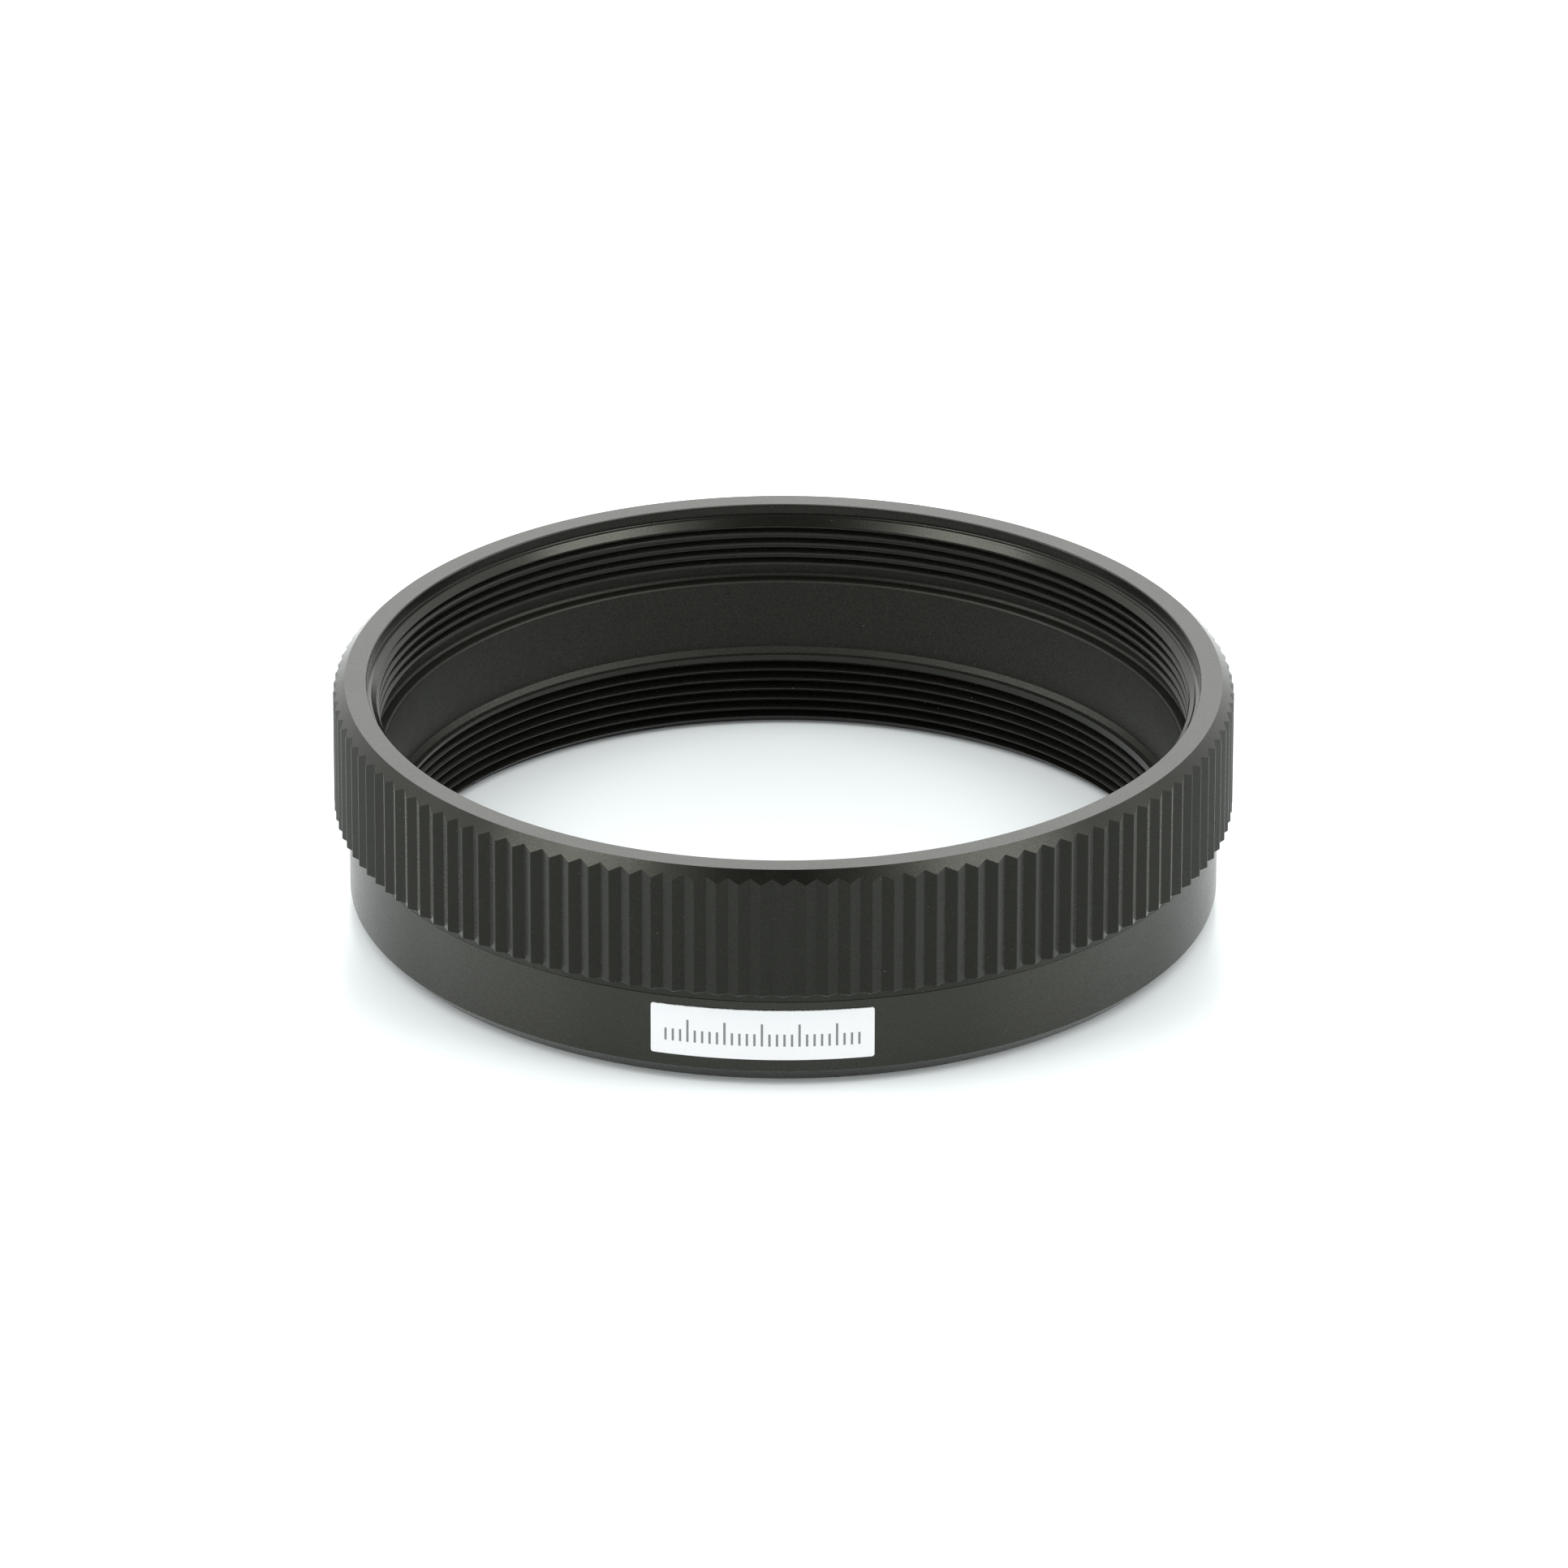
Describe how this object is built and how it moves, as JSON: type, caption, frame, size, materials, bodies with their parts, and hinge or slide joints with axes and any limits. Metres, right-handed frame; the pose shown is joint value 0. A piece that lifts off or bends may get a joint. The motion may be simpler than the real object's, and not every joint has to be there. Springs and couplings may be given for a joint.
{
  "type": "screw-on lens hood",
  "caption": "Short round lens hood: a knurled mount collar with a fine female thread on a plain barrel with a filter thread at its front rim, and a blank paper label on its skirt.",
  "frame": {"origin": "centre of the front rim's plane, which is the face that the hood stands on", "axes": "+Z along the light path from the front rim towards the lens, -Y out through the middle of the side that carries the label"},
  "size_m": [0.0614, 0.0614, 0.0161],
  "materials": {
    "collar_anodised": "fine matt black anodising",
    "barrel_anodised": "fine matt black anodising",
    "label_paper": "white coated paper"
  },
  "bodies": {
    "root": {"mount_collar": "collar_anodised", "hood_barrel": "barrel_anodised", "paper_label": "label_paper"}
  },
  "joints": []
}
